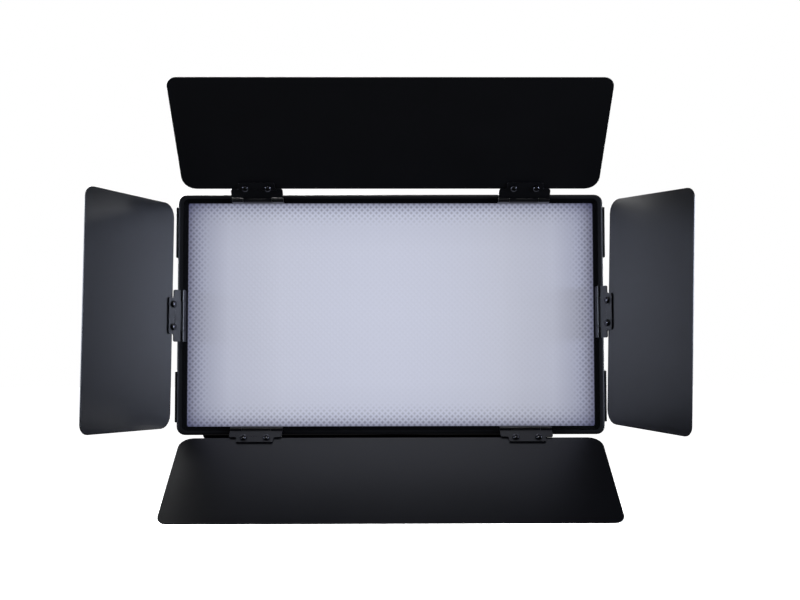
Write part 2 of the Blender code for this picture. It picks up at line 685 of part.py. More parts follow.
def door_leaf_mesh():
    """The moving leaf: the middle knuckle, shoulders as long as the hinge, and a narrower tab."""
    half, tab, neck = HINGE_LENGTH / 2, TAB_WIDTH / 2, MIDDLE_KNUCKLE / 2 - GAP / 2
    r = LEAF_CORNER
    right = [(neck, 0), (neck, LEAF_START), (half, LEAF_START)]
    right += arc((half - r, LEAF_SHOULDER - r), r, 0, 90, CORNER_STEPS)
    right += arc((tab + r, LEAF_SHOULDER + r), r, 270, 180, CORNER_STEPS)
    right += arc((tab - r, LEAF_REACH - r), r, 0, 90, CORNER_STEPS)
    left = [(-x, y) for x, y in reversed(right)]
    plate = prism_mesh("door_leaf", right + left, LEAF_BACK, LEAF_FACE)
    knuckle = bar_mesh(BARREL_RADIUS, -MIDDLE_KNUCKLE / 2, MIDDLE_KNUCKLE / 2)
    holes = [bar_mesh(BARREL_BORE, -HINGE_LENGTH, HINGE_LENGTH)]
    for x in (-SCREW_SPREAD, SCREW_SPREAD):
        outline = circle(SCREW_SHANK + SCREW_PLAY, SMALL_STEPS, (x, SCREW_REACH))
        holes.append(prism_mesh("hole", outline, 2 * LEAF_BACK, -2 * LEAF_BACK))
    return shaped(plate, ("UNION", knuckle), ("DIFFERENCE", merged_mesh("holes", holes)))


def screw_mesh():
    """A pan-head screw; z = 0 is the leaf's beam side."""
    tail = -LEAF_THICKNESS - GAP - DOOR_THICKNESS - SCREW_TAIL
    head = SCREW_HEAD_HEIGHT + GAP
    loops = [
        (circle(SCREW_SHANK - GAP, SMALL_STEPS), tail),
        (circle(SCREW_SHANK, SMALL_STEPS), tail + GAP),
        (circle(SCREW_SHANK, SMALL_STEPS), GAP),
        (circle(SCREW_HEAD, SMALL_STEPS), GAP),
        (circle(SCREW_HEAD, SMALL_STEPS), head / 2),
        (circle(SCREW_HEAD * 0.8, SMALL_STEPS), head * 0.87),
        (circle(SCREW_HEAD * 0.4, SMALL_STEPS), head),
    ]
    return loops_mesh("screw", loops)


def pin_mesh():
    half = HINGE_LENGTH / 2
    loops = [
        (circle(PIN_RADIUS - GAP, SMALL_STEPS), -half),
        (circle(PIN_RADIUS, SMALL_STEPS), -half + GAP),
        (circle(PIN_RADIUS, SMALL_STEPS), half - GAP),
        (circle(PIN_RADIUS - GAP, SMALL_STEPS), half),
    ]
    return along_x(loops_mesh("pin", loops))


def door_mesh(name, width, edge, alongs, sag):
    """A sheet with rounded corners and a pair of clearance holes at each hinge leaf."""
    middle = edge + DOOR_DEPTH / 2
    sheet = rounded(width, DOOR_DEPTH, DOOR_NEAR_RADIUS, DOOR_FAR_RADIUS, centre=(0, middle))
    back = LEAF_BACK - GAP - DOOR_THICKNESS
    mesh = prism_mesh(name, sheet, back, back + DOOR_THICKNESS)
    if sag:
        swing = Matrix.Translation((alongs[0], SCREW_REACH, 0)) @ Matrix.Rotation(sag, 4, "Z")
        mesh.transform(swing @ Matrix.Translation((0, -SCREW_REACH, 0)))
    holes = []
    for x in [along + side * SCREW_SPREAD for along in alongs for side in (-1, 1)]:
        outline = circle(SCREW_SHANK + SHEET_HOLE_PLAY, SMALL_STEPS, (x, SCREW_REACH))
        holes.append(prism_mesh("hole", outline, 2 * back, 0))
    return shaped(mesh, ("DIFFERENCE", merged_mesh("holes", holes)))


def doors(panel):
    frame_leaf, door_leaf, screw, pin = frame_leaf_mesh(), door_leaf_mesh(), screw_mesh(), pin_mesh()
    plans = {
        "top": (LONG_DOOR_WIDTH, LONG_DOOR_EDGE, TOP_DOOR_ANGLE, 0),
        "bottom": (LONG_DOOR_WIDTH, LONG_DOOR_EDGE, BOTTOM_DOOR_ANGLE, 0),
        "left": (SIDE_DOOR_WIDTH, SIDE_DOOR_EDGE, LEFT_DOOR_ANGLE, LEFT_DOOR_SAG),
        "right": (SIDE_DOOR_WIDTH, SIDE_DOOR_EDGE, RIGHT_DOOR_ANGLE, RIGHT_DOOR_SAG),
    }
    for side, (width, edge, angle, sag) in plans.items():
        place = hinge_place(side)
        alongs = hinges_along(side)
        fixed = empty(side + "_hinge_line", place.translation, place.to_3x3(), panel)
        swung = (place @ Matrix.Rotation(angle, 4, "X")).to_3x3()
        moving = empty(side + "_door_pivot", place.translation, swung, panel)
        sheet = door_mesh(side + "_door", width, edge, alongs, sag)
        piece(side + "_door", sheet, SHEET_BLACK, moving)
        for number, along in enumerate(alongs, 1):
            tag = f"{side}_{number}" if len(alongs) > 1 else side
            piece(tag + "_frame_leaf", frame_leaf, MATT_BLACK, fixed, (along, 0, 0))
            piece(tag + "_door_leaf", door_leaf, MATT_BLACK, moving, (along, 0, 0))
            piece(tag + "_hinge_pin", pin, DARK_STEEL, fixed, (along, 0, 0))
            for end, x in (("a", along - SCREW_SPREAD), ("b", along + SCREW_SPREAD)):
                piece(f"{tag}_screw_{end}", screw, DARK_STEEL, moving, (x, SCREW_REACH, LEAF_FACE))


def side_clips(panel):
    """Slotted spring strips that hold the door frame on the housing's sides."""
    middle = (-CLIP_START - CLIP_DEPTH / 2, 0)
    plate = rounded(CLIP_DEPTH, CLIP_LENGTH, CLIP_RADIUS, centre=middle)
    slot = rounded(CLIP_SLOT, CLIP_SLOT_LENGTH, CLIP_SLOT / 2 - GAP, centre=middle)
    cut = prism_mesh("slot", slot, -CLIP_THICKNESS, 2 * CLIP_THICKNESS)
    mesh = shaped(prism_mesh("side_clip", plate, 0, CLIP_THICKNESS), ("DIFFERENCE", cut))
    # The plate's x is the panel's z, its thickness points out of the panel's right side.
    mesh.transform(Matrix(((0, 0, 1, 0), (0, 1, 0, 0), (1, 0, 0, 0), (0, 0, 0, 1))))
    to_mesh_outward(mesh)
    edge = FRAME_WIDTH / 2 + GAP
    for side, x in (("right", edge), ("left", -edge - CLIP_THICKNESS)):
        for level, y in (("upper", CLIP_RISE), ("lower", -CLIP_RISE)):
            piece(f"{side}_{level}_clip", mesh, DARK_STEEL, panel, (x, y, 0))


def to_mesh_outward(mesh):
    bm = bmesh.new()
    bm.from_mesh(mesh)
    bmesh.ops.recalc_face_normals(bm, faces=bm.faces)
    bm.to_mesh(mesh)
    bm.free()


# ---- stand receiver and tilt ---------------------------------------------------------


def stand_receiver():
    outer, bore = RECEIVER_RADIUS, SOCKET_RADIUS
    loops = [
        (circle(bore), SOCKET_DEPTH),
        (circle(bore), SOCKET_CHAMFER),
        (circle(bore + SOCKET_CHAMFER), 0),
        (circle(outer - SOCKET_CHAMFER), 0),
        (circle(outer), SOCKET_CHAMFER),
        (circle(outer), RECEIVER_HEIGHT - SOCKET_CHAMFER),
        (circle(outer - SOCKET_CHAMFER), RECEIVER_HEIGHT),
    ]
    body = loops_mesh("stand_receiver", loops)
    root, half = RECEIVER_HEIGHT - SOCKET_CHAMFER, TONGUE_WIDTH / 2
    tongue = ear_mesh(TONGUE_RADIUS, root, -half, half)
    cross = bar_mesh(BOLT_RADIUS + BOLT_PLAY, -FOOT_WIDTH, FOOT_WIDTH)
    cross.transform(Matrix.Translation((0, 0, TILT_AXIS_HEIGHT)))
    clamp = bar_mesh(BOLT_RADIUS + BOLT_PLAY, 0, FOOT_WIDTH)
    clamp.transform(Matrix.Translation((0, 0, CLAMP_HEIGHT)))
    holes = merged_mesh("holes", [cross, clamp])
    piece("stand_receiver", shaped(body, ("UNION", tongue), ("DIFFERENCE", holes)), MATT_BLACK)


def ear_mesh(radius, root, x_low, x_high):
    """A round-ended ear about the tilt axis, with its root at a height above or below it."""
    if root < TILT_AXIS_HEIGHT:
        outline = arc((0, TILT_AXIS_HEIGHT), radius, 0, 180, 2 * CORNER_STEPS)
    else:
        outline = arc((0, TILT_AXIS_HEIGHT), radius, 180, 360, 2 * CORNER_STEPS)
    side = outline[-1][0]
    outline += [(side, root), (-side, root)]
    mesh = prism_mesh("ear", outline, x_low, x_high)
    # The outline's (x, y) becomes world (y, z), and its thickness runs along x.
    mesh.transform(Matrix(((0, 0, 1, 0), (1, 0, 0, 0), (0, 1, 0, 0), (0, 0, 0, 1))))
    return mesh


def tilt_bracket():
    """The fork that hangs under the power case."""
    top = TILT_AXIS_HEIGHT + AXIS_TO_CASE - GAP
    foot = rounded(FOOT_WIDTH, FOOT_DEPTH, CHEEK_THICKNESS)
    base = prism_mesh("tilt_bracket", foot, top - FOOT_THICKNESS, top)
    inner = TONGUE_WIDTH / 2 + GAP
    root = top - FOOT_THICKNESS / 2
    left = ear_mesh(CHEEK_RADIUS, root, -inner - CHEEK_THICKNESS, -inner)
    right = ear_mesh(CHEEK_RADIUS, root, inner, inner + CHEEK_THICKNESS)
    cross = bar_mesh(BOLT_RADIUS + BOLT_PLAY, -FOOT_WIDTH, FOOT_WIDTH)
    cross.transform(Matrix.Translation((0, 0, TILT_AXIS_HEIGHT)))
    steps = [("UNION", merged_mesh("cheeks", [left, right])), ("DIFFERENCE", cross)]
    piece("tilt_bracket", shaped(base, *steps), MATT_BLACK)


def tilt_bolt():
    outside = TONGUE_WIDTH / 2 + GAP + CHEEK_THICKNESS + GAP
    end = outside + TILT_KNOB_BORE - 2 * GAP
    loops = [
        (hexagon(BOLT_HEAD_RADIUS), -outside - BOLT_HEAD_HEIGHT),
        (hexagon(BOLT_HEAD_RADIUS), -outside),
        (circle(BOLT_RADIUS, SMALL_STEPS), -outside),
        (circle(BOLT_RADIUS, SMALL_STEPS), end),
    ]
    bolt = along_x(loops_mesh("tilt_bolt", loops))
    piece("tilt_bolt", bolt, DARK_STEEL, location=(0, 0, TILT_AXIS_HEIGHT))

    knob = grip_mesh("tilt_knob", TILT_KNOB_RADIUS, TILT_KNOB_LENGTH, TILT_KNOB_BORE)
    piece("tilt_knob", knob, PLASTIC_BLACK, location=(outside, 0, TILT_AXIS_HEIGHT))


def grip_mesh(name, radius, length, bore):
    """A round grip along +x from its own origin, with a blind bore for its screw."""
    hole = BOLT_RADIUS + BOLT_PLAY
    loops = [
        (circle(hole), bore),
        (circle(hole), 0),
        (circle(radius * 0.7), 0),
        (circle(radius), length * 0.25),
        (circle(radius), length - 4 * GAP),
        (circle(radius - 4 * GAP), length),
    ]
    return along_x(loops_mesh(name, loops))


def receiver_clamp():
    start = SOCKET_RADIUS + GAP
    knob_start = RECEIVER_RADIUS + CLAMP_NECK
    bore = CLAMP_KNOB_LENGTH * 0.7
    screw = bar_mesh(BOLT_RADIUS, start, knob_start + bore - GAP, SMALL_STEPS)
    screw.name = "clamp_screw"
    piece("clamp_screw", screw, DARK_STEEL, location=(0, 0, CLAMP_HEIGHT))
    knob = grip_mesh("clamp_knob", CLAMP_KNOB_RADIUS, CLAMP_KNOB_LENGTH, bore)
    piece("clamp_knob", knob, PLASTIC_BLACK, location=(knob_start, 0, CLAMP_HEIGHT))


def build():
    clear_scene()
    stand_receiver()
    receiver_clamp()
    tilt_bracket()
    tilt_bolt()
    upright = Matrix.Rotation(math.radians(90), 3, "X")
    panel = empty("panel", Vector((0, -PANEL_FORWARD, PANEL_HEIGHT)), upright)
    place = controls_matrix()
    controls = empty("controls", place.translation, place.to_3x3(), panel)
    front_frame(panel)
    light_engine(panel)
    rear_housing(panel)
    power_case(panel)
    driver_board(panel)
    control_panel(controls)
    controls_pieces(controls)
    power_switch(controls)
    power_socket(controls)
    doors(panel)
    side_clips(panel)


build()
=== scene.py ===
# LED panel light with four barn doors: the looks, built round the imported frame.
# Metres, +Z up; the light shines along -Y and rests level on its stand receiver.

import json
import math

import bmesh
import bpy
from mathutils import Matrix, Vector


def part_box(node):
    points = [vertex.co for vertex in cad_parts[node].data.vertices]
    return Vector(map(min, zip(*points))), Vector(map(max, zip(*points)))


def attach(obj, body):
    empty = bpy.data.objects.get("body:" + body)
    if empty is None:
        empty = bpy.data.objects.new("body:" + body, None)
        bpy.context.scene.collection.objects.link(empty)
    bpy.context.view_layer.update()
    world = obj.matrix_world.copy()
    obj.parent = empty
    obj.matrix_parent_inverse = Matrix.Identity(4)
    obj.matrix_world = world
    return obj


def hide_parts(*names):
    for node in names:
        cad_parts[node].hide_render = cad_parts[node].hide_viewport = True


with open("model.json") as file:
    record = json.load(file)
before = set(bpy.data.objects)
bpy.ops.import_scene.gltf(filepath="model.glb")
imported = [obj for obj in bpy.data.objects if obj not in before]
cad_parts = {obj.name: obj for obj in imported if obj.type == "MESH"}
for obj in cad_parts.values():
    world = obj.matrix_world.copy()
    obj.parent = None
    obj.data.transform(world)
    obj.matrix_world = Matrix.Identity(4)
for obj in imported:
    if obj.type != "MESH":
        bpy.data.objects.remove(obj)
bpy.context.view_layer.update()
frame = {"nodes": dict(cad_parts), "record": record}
nodes = frame["nodes"]
bodies = frame["record"]["behaviour"]["bodies"]
bodyOf = {name: body for body, names in bodies.items() for name in names}
scene = bpy.context.scene
mm = 0.001
panelLow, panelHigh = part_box("front_frame")
panelMiddle = (panelLow + panelHigh) / 2


# turns an sRGB hex value into the linear colour that a shader takes
def colour(code):
    parts = [int(code[i:i + 2], 16) / 255 for i in (1, 3, 5)]
    return (*[c / 12.92 if c < 0.04045 else ((c + 0.055) / 1.055) ** 2.4 for c in parts], 1.0)


# adds one node; inputs are values or the sockets to link, settings are the node's own properties
def addNode(material, kind, inputs=None, **settings):
    tree = material.node_tree
    node = tree.nodes.new("ShaderNode" + kind)
    for name, value in settings.items():
        setattr(node, name, value)
    for name, value in (inputs or {}).items():
        if isinstance(value, bpy.types.NodeSocket):
            tree.links.new(value, node.inputs[name])
        else:
            node.inputs[name].default_value = value
    return node


# starts a material whose even values sit on the shader itself
def newMaterial(name, values):
    material = bpy.data.materials.new(name)
    material.use_nodes = True
    shader = material.node_tree.nodes["Principled BSDF"]
    for socket, value in values.items():
        shader.inputs[socket].default_value = value
    return material, shader


def connect(material, output, shader, socket):
    material.node_tree.links.new(output, shader.inputs[socket])


# a ramp of greys through (position, value) pairs
def greyRamp(material, factor, stops):
    ramp = addNode(material, "ValToRGB", {"Fac": factor})
    ramp.color_ramp.interpolation = "LINEAR"
    points = ramp.color_ramp.elements
    while len(points) < len(stops):
        points.new(0.5)
    for point, (position, _) in zip(points, stops):
        point.position = position
    for point, (_, value) in zip(points, stops):
        point.color = (value, value, value, 1)
    return ramp


def objectPlace(material):
    return addNode(material, "TexCoord").outputs["Object"]


# camera, floor and light; the camera stands in front, a little below the panel's middle
studio = {
    "lens": 45.65,
    "side": 0.8 * mm,  # from the middle of the frame's front face
    "distance": 996.5 * mm,
    "drop": 35.9 * mm,
    "pitch": 2.849,
    "turn": -0.462,
    "roll": -0.099,
    "floorDrop": 300 * mm,
    "floorReach": 12.0,
    "floor": "#F2F2F3",
    "floorGlow": 1.1,
    "backdrop": 1.0,
    "ambientAbove": 0.03,
    "ambientBelow": 0.065,
    "skyLow": -0.3,  # between these heights of the view the ambient light changes
    "skyHigh": 0.8,
}

softboxes = {
    # name: place from the panel's middle, width, height, power in watts, colour
    "leftBox": ((-1.5, -0.75, 0.1), 0.8, 0.34, 18, "#DCE6FF"),
    "rightBox": ((1.5, -0.75, 0.1), 0.8, 0.34, 31, "#DCE6FF"),
    "topBox": ((0.0, -1.7, 2.1), 0.6, 0.6, 16, "#FFFFFF"),
    "rearBox": ((-0.9, 1.7, 0.9), 1.8, 1.2, 150, "#FFFFFF"),
    "rearFill": ((1.6, 1.3, -0.1), 1.2, 1.2, 60, "#FFFFFF"),
}


def makeCamera():
    data = bpy.data.cameras.new("camera")
    data.lens = studio["lens"]
    data.sensor_width = 36
    camera = bpy.data.objects.new("camera", data)
    scene.collection.objects.link(camera)
    place = (studio["side"], panelLow.y - studio["distance"], panelMiddle.z - studio["drop"])
    turn = Matrix.Rotation(math.radians(studio["turn"]), 4, "Z")
    pitch = Matrix.Rotation(math.radians(90 + studio["pitch"]), 4, "X")
    roll = Matrix.Rotation(math.radians(studio["roll"]), 4, "Z")
    camera.matrix_world = Matrix.Translation(place) @ turn @ pitch @ roll
    scene.camera = camera


def makeFloor():
    bm = bmesh.new()
    bmesh.ops.create_grid(bm, x_segments=1, y_segments=1, size=studio["floorReach"])
    bmesh.ops.translate(bm, verts=bm.verts, vec=(0, 0, -studio["floorDrop"]))
    mesh = bpy.data.meshes.new("floor")
    bm.to_mesh(mesh)
    bm.free()
    floor = bpy.data.objects.new("floor", mesh)
    scene.collection.objects.link(floor)
    material, _ = newMaterial("paleFloor", {
        "Base Color": colour(studio["floor"]),
        "Roughness": 0.9,
        "Specular IOR Level": 0.1,
        "Emission Color": (1, 1, 1, 1),
        "Emission Strength": studio["floorGlow"],
    })
    mesh.materials.append(material)
    floor.visible_diffuse = False
    floor.visible_glossy = False


# even white behind, for the camera alone; what lights the object is dim, and less dim from below
def makeWorld():
    world = bpy.data.worlds.new("studio")
    scene.world = world
    world.use_nodes = True
    tree = world.node_tree
    tree.nodes.clear()
    place = tree.nodes.new("ShaderNodeTexCoord")
    split = tree.nodes.new("ShaderNodeSeparateXYZ")
    height = tree.nodes.new("ShaderNodeMapRange")
    height.inputs["From Min"].default_value = studio["skyLow"]
    height.inputs["From Max"].default_value = studio["skyHigh"]
    height.inputs["To Min"].default_value = studio["ambientBelow"]
    height.inputs["To Max"].default_value = studio["ambientAbove"]
    path = tree.nodes.new("ShaderNodeLightPath")
    choose = tree.nodes.new("ShaderNodeMix")
    choose.inputs[3].default_value = studio["backdrop"]
    background = tree.nodes.new("ShaderNodeBackground")
    background.inputs["Color"].default_value = (1, 1, 1, 1)
    output = tree.nodes.new("ShaderNodeOutputWorld")
    for start, end in (
        (place.outputs["Generated"], split.inputs[0]),
        (split.outputs["Z"], height.inputs["Value"]),
        (path.outputs["Is Camera Ray"], choose.inputs[0]),
        (height.outputs[0], choose.inputs[2]),
        (choose.outputs[0], background.inputs["Strength"]),
        (background.outputs[0], output.inputs[0]),
    ):
        tree.links.new(start, end)


def makeSoftbox(name, place, width, height, power, code):
    data = bpy.data.lights.new(name, "AREA")
    data.color = colour(code)[:3]
    data.shape = "RECTANGLE"
    data.size, data.size_y, data.energy = width, height, power
    box = bpy.data.objects.new(name, data)
    scene.collection.objects.link(box)
    start = panelMiddle + Vector(place)
    aim = (panelMiddle - start).to_track_quat("-Z", "Y")
    box.matrix_world = Matrix.Translation(start) @ aim.to_matrix().to_4x4()


scene.view_settings.view_transform = "Standard"
makeCamera()
makeFloor()
makeWorld()
for softboxName, softbox in softboxes.items():
    makeSoftbox(softboxName, *softbox)
print("studio ready")

# Coated surfaces carry a fine grain of cured powder and a broad, faint unevenness of the sheen.
coatings = {
    # name: colour, roughness, specular, grain size, grain depth, sheen unevenness
    # dull black with weak, wide highlights
    "mattPowderCoatOnAluminium": ("#08080A", 0.45, 0.2, 0.5 * mm, 0.1, 0.05),
    # smooth black that shows the window and the side lights as a blur
    "satinPowderCoatOnSheet": ("#09090B", 0.3, 0.38, 0.6 * mm, 0.03, 0.02),
    # the same blur on the bends of the hinges and clips
    "satinBlackOxideSteel": ("#0A0A0C", 0.3, 0.34, 0.4 * mm, 0.05, 0.05),
    # grainy dark casting
    "blackAnodisedCasting": ("#0D0D0F", 0.45, 0.6, 0.9 * mm, 0.2, 0.10),
    # painted shade: a darker, duller black for the recess round the window
    "shadowBlackMouth": ("#040405", 0.8, 0.06, 0.5 * mm, 0.1, 0.05),
    # fine-grained plastic with no clear highlight
    "texturedAbs": ("#0F0F12", 0.55, 0.5, 0.7 * mm, 0.25, 0.06),
    # even whites and a green, smooth as lacquer
    "whiteReflectorPaint": ("#E4E4E2", 0.5, 0.5, 0.6 * mm, 0.05, 0.05),
    "whiteSolderMask": ("#E0E2E0", 0.35, 0.5, 1.2 * mm, 0.05, 0.05),
    "greenSolderMask": ("#1E6B3A", 0.35, 0.5, 1.2 * mm, 0.08, 0.05),
    # flat pale ink
    "whitePrint": ("#C9CACC", 0.6, 0.3, 0.3 * mm, 0.05, 0.05),
    # dark and glossy
    "smokedAcrylic": ("#08080A", 0.06, 0.6, 4.0 * mm, 0.01, 0.03),
}
coating = {
    "patch": 45 * mm,  # size of the unevenness
    "relief": 0.1 * mm,
    "dark": 0.86,  # how far the tone strays from the colour
    "light": 1.14,
}


# a ramp of tones round one colour
def toneRamp(material, factor, code, dark, light):
    ramp = addNode(material, "ValToRGB", {"Fac": factor})
    ends = ramp.color_ramp.elements
    base = colour(code)[:3]
    ends[0].color = (*[c * dark for c in base], 1)
    ends[1].color = (*[min(c * light, 1) for c in base], 1)
    return ramp


# joins the tone, the roughness and a bump of the grain to the shader
def finishSurface(material, shader, tone, rough, grain, depth, relief):
    bump = addNode(material, "Bump", {
        "Height": grain,
        "Strength": depth,
        "Distance": relief,
    })
    connect(material, tone.outputs["Color"], shader, "Base Color")
    connect(material, rough.outputs[0], shader, "Roughness")
    connect(material, bump.outputs["Normal"], shader, "Normal")
    return material


# a coated or moulded finish: the grain breaks up the highlight and slow noise shifts the sheen
def coatedFinish(name):
    code, roughness, specular, grain, depth, unevenness = coatings[name]
    material, shader = newMaterial(name, {"Specular IOR Level": specular})
    place = objectPlace(material)
    broad = addNode(material, "TexNoise", {"Vector": place, "Scale": 1 / coating["patch"], "Detail": 4.0})
    tone = toneRamp(material, broad.outputs["Fac"], code, coating["dark"], coating["light"])
    sheen = addNode(material, "MapRange", {
        "Value": broad.outputs["Fac"],
        "From Min": 0.3,
        "From Max": 0.7,
        "To Min": roughness - unevenness / 2,
        "To Max": roughness + unevenness / 2,
    })
    fine = addNode(material, "TexNoise", {"Vector": place, "Scale": 1 / grain, "Detail": 2.0})
    return finishSurface(material, shader, tone, sheen, fine.outputs["Fac"], depth, coating["relief"])


metals = {
    # name: colour, roughness, scratch pitch, scratch depth, stretch of the scratches along x
    # dark grey with a soft gleam
    "blackenedSteel": ("#3A3A3D", 0.34, 0.3 * mm, 0.08, 1.0),
    # dark, with small clear glints
    "glossBlackScrew": ("#4A4A4E", 0.2, 0.3 * mm, 0.04, 1.0),
    # pale metal streaked along the width
    "brushedAluminium": ("#C6C7C9", 0.32, 0.3 * mm, 0.1, 0.03),
    # warm bright metal
    "nickelContact": ("#BDB7A8", 0.22, 0.3 * mm, 0.03, 1.0),
}
scratches = {
    "relief": 0.05 * mm,
    "spread": 0.08,  # of the roughness, each way
    "dark": 0.8,
    "light": 1.15,
}


# bare or plated metal: fine scratches in the finish scatter the reflection
def metalFinish(name):
    code, roughness, pitch, depth, stretch = metals[name]
    material, shader = newMaterial(name, {"Metallic": 1.0})
    mapping = addNode(material, "Mapping", {
        "Vector": objectPlace(material),
        "Scale": (stretch, 1, 1),
    })
    fine = addNode(material, "TexNoise", {"Vector": mapping.outputs[0], "Scale": 1 / pitch, "Detail": 3.0})
    tone = toneRamp(material, fine.outputs["Fac"], code, scratches["dark"], scratches["light"])
    rough = addNode(material, "MapRange", {
        "Value": fine.outputs["Fac"],
        "To Min": roughness - scratches["spread"],
        "To Max": roughness + scratches["spread"],
    })
    return finishSurface(material, shader, tone, rough, fine.outputs["Fac"], depth, scratches["relief"])


prism = {
    "pitch": 4.07 * mm,  # the pressed lattice, turned by 45 degrees
    "depth": 0.12 * mm,
    "open": "#D6D9E8",  # over the white box behind
    "edgeShade": "#1A1C50",  # painted shade: the colour the sheet darkens to at the window's edges
    "pit": 0.62,  # painted shade in the middle of a pit and painted highlight on the ridge round it, as brightness
    "ridge": 1.22,
    "pitFloor": 0.2,  # where the slope starts and ends, as a share of the way out of a pit
    "pitRim": 0.85,
    "patternReach": 26 * mm,  # the painted pit shade and ridge highlight fade out over this distance from the window's edge
    "patternLeft": 0.06,  # what is left of it in the middle
    "coveredSide": 7.35 * mm,  # how far the sheet reaches behind the frame
    "coveredTop": 6 * mm,
    "corner": 3.9 * mm,  # a cut corner, in place of the hidden rounding
    # (share of the way from the window's edge to its middle, brightness; painted shade towards the frame)
    "sideShade": ((0, 0.24), (0.03, 0.42), (0.09, 0.62), (0.2, 0.85), (0.45, 0.98), (1, 1)),
    "heightShade": ((0, 0.38), (0.05, 0.64), (0.11, 0.83), (0.2, 0.93), (0.4, 0.98), (1, 1)),
    "surface": 0.3,  # share of the colour that comes back from the sheet itself
    "paintedGlow": 0.69,  # painted glow: the unlit sheet gives out its own colour as light
}


# pressed polycarbonate with painted light: painted shade in its pits and painted highlight on its ridges
# near the frame, melting into the white box elsewhere; painted shade towards the window's edges and a
# painted glow over the whole sheet
def prismSheetWithPaintedLight():
    material, shader = newMaterial("pressedPolycarbonatePaintedLight", {
        "Roughness": 0.23,
        "IOR": 1.58,
        "Emission Strength": prism["paintedGlow"],
    })
    windowLow, windowHigh = windowEdges()
    middle = (windowLow + windowHigh) / 2
    half = (windowHigh - windowLow) / 2
    centred = addNode(material, "Mapping", {"Vector": objectPlace(material), "Location": tuple(-middle)})
    split = addNode(material, "SeparateXYZ", {"Vector": centred.outputs[0]})
    gaps, paintedShades = [], []
    for axis, reach, shadeKey in (("X", half.x, "sideShade"), ("Z", half.z, "heightShade")):
        size = addNode(material, "Math", {0: split.outputs[axis]}, operation="ABSOLUTE")
        gaps.append(addNode(material, "Math", {0: reach, 1: size.outputs[0]}, operation="SUBTRACT"))
        share = addNode(material, "Math", {0: gaps[-1].outputs[0], 1: reach}, operation="DIVIDE")
        paintedShades.append(greyRamp(material, share.outputs[0], prism[shadeKey]))
    inset = addNode(material, "Math", {0: gaps[0].outputs[0], 1: gaps[1].outputs[0]}, operation="MINIMUM")
    # painted shade: the sheet's colour darkens towards the window's edges
    paintedShade = addNode(material, "Math", {
        0: paintedShades[0].outputs["Color"],
        1: paintedShades[1].outputs["Color"],
    }, operation="MULTIPLY")
    pattern = addNode(material, "MapRange", {
        "Value": inset.outputs[0],
        "From Min": 0.0,
        "From Max": prism["patternReach"],
        "To Min": 1.0,
        "To Max": prism["patternLeft"],
    }, interpolation_type="SMOOTHSTEP")
    body = addNode(material, "Mix", {
        0: paintedShade.outputs[0],
        6: colour(prism["edgeShade"]),
        7: colour(prism["open"]),
    }, data_type="RGBA")
    # distance from the middle of a pit, 0 to 1 at its rim, on the turned lattice
    lattice = addNode(material, "Mapping", {
        "Vector": centred.outputs[0],
        "Rotation": (0, math.radians(45), 0),
        "Scale": (1 / prism["pitch"], 1, 1 / prism["pitch"]),
    })
    cell = addNode(material, "SeparateXYZ", {"Vector": lattice.outputs[0]})
    sides = []
    for axis in ("X", "Z"):
        bounce = addNode(material, "Math", {0: cell.outputs[axis], 1: 0.5}, operation="PINGPONG")
        sides.append(addNode(material, "Math", {0: bounce.outputs[0], 1: 2.0}, operation="MULTIPLY"))
    rim = addNode(material, "Math", {0: sides[0].outputs[0], 1: sides[1].outputs[0]}, operation="MAXIMUM")
    pit = addNode(material, "MapRange", {
        "Value": rim.outputs[0],
        "From Min": prism["pitFloor"],
        "From Max": prism["pitRim"],
        "To Min": prism["pit"],
        "To Max": prism["ridge"],
    })
    # painted shade in the pits and painted highlight on the ridges, strong near the frame and fading
    # towards the middle
    relief = addNode(material, "Mix", {0: pattern.outputs[0], 2: 1.0, 3: pit.outputs[0]})
    shown = addNode(material, "VectorMath", {
        0: body.outputs[2],
        "Scale": relief.outputs[0],
    }, operation="SCALE")
    skin = addNode(material, "VectorMath", {
        0: shown.outputs[0],
        "Scale": prism["surface"],
    }, operation="SCALE")
    connect(material, skin.outputs[0], shader, "Base Color")
    # painted glow: the sheet shines with its shaded colour though the panel is off
    connect(material, shown.outputs[0], shader, "Emission Color")
    return material


# the window in the front frame, from the box of the sheet behind it
def windowEdges():
    low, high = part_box("diffuser")
    margin = Vector((prism["coveredSide"], 0, prism["coveredTop"]))
    return low + margin, high - margin


finishes = {name: coatedFinish(name) for name in coatings}
finishes.update({name: metalFinish(name) for name in metals})
finishes["pressedPolycarbonatePaintedLight"] = prismSheetWithPaintedLight()
print("materials ready:", len(finishes))


edgeValues = {
    "soften": math.radians(50),  # gentler edges are shaded smooth
    "round": math.radians(40),  # sharper ones are rounded off
    "flat": math.radians(1),  # faces this close to one plane become one face
    "merge": 0.01 * mm,
}


# one visible piece, already in its place, on its body and in the stead of its CAD nodes
def addPiece(bm, name, body, slot, *materials, replaced=()):
    mesh = bpy.data.meshes.new(name)
    bm.to_mesh(mesh)
    bm.free()
    for material in materials:
        mesh.materials.append(finishes[material])
    mesh.shade_smooth()
    mesh.set_sharp_from_angle(angle=edgeValues["soften"])
    piece = bpy.data.objects.new(name, mesh)
    scene.collection.objects.link(piece)
    evenNormals = piece.modifiers.new("evenNormals", "WEIGHTED_NORMAL")
    evenNormals.keep_sharp = True
    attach(piece, body)
    if replaced:
        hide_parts(*replaced)
    return piece


# a copy of a CAD node with its doubles merged, in few flat faces; a pierced box keeps them convex
def copyOf(node):
    bm = bmesh.new()
    bm.from_mesh(nodes[node].data)
    bmesh.ops.remove_doubles(bm, verts=bm.verts, dist=edgeValues["merge"])
    bmesh.ops.dissolve_limit(bm, angle_limit=edgeValues["flat"], verts=bm.verts, edges=bm.edges)
    if node in ("power_case", "rear_housing"):
        bmesh.ops.connect_verts_concave(bm, faces=bm.faces)
    for face in bm.faces:
        face.material_index = 0
    return bm


def roundEdges(bm, width):
    edges = [e for e in bm.edges if e.is_manifold and e.calc_face_angle() > edgeValues["round"]]
    bmesh.ops.bevel(bm, geom=edges, offset=width, affect="EDGES", segments=2, profile=0.5, material=-1)


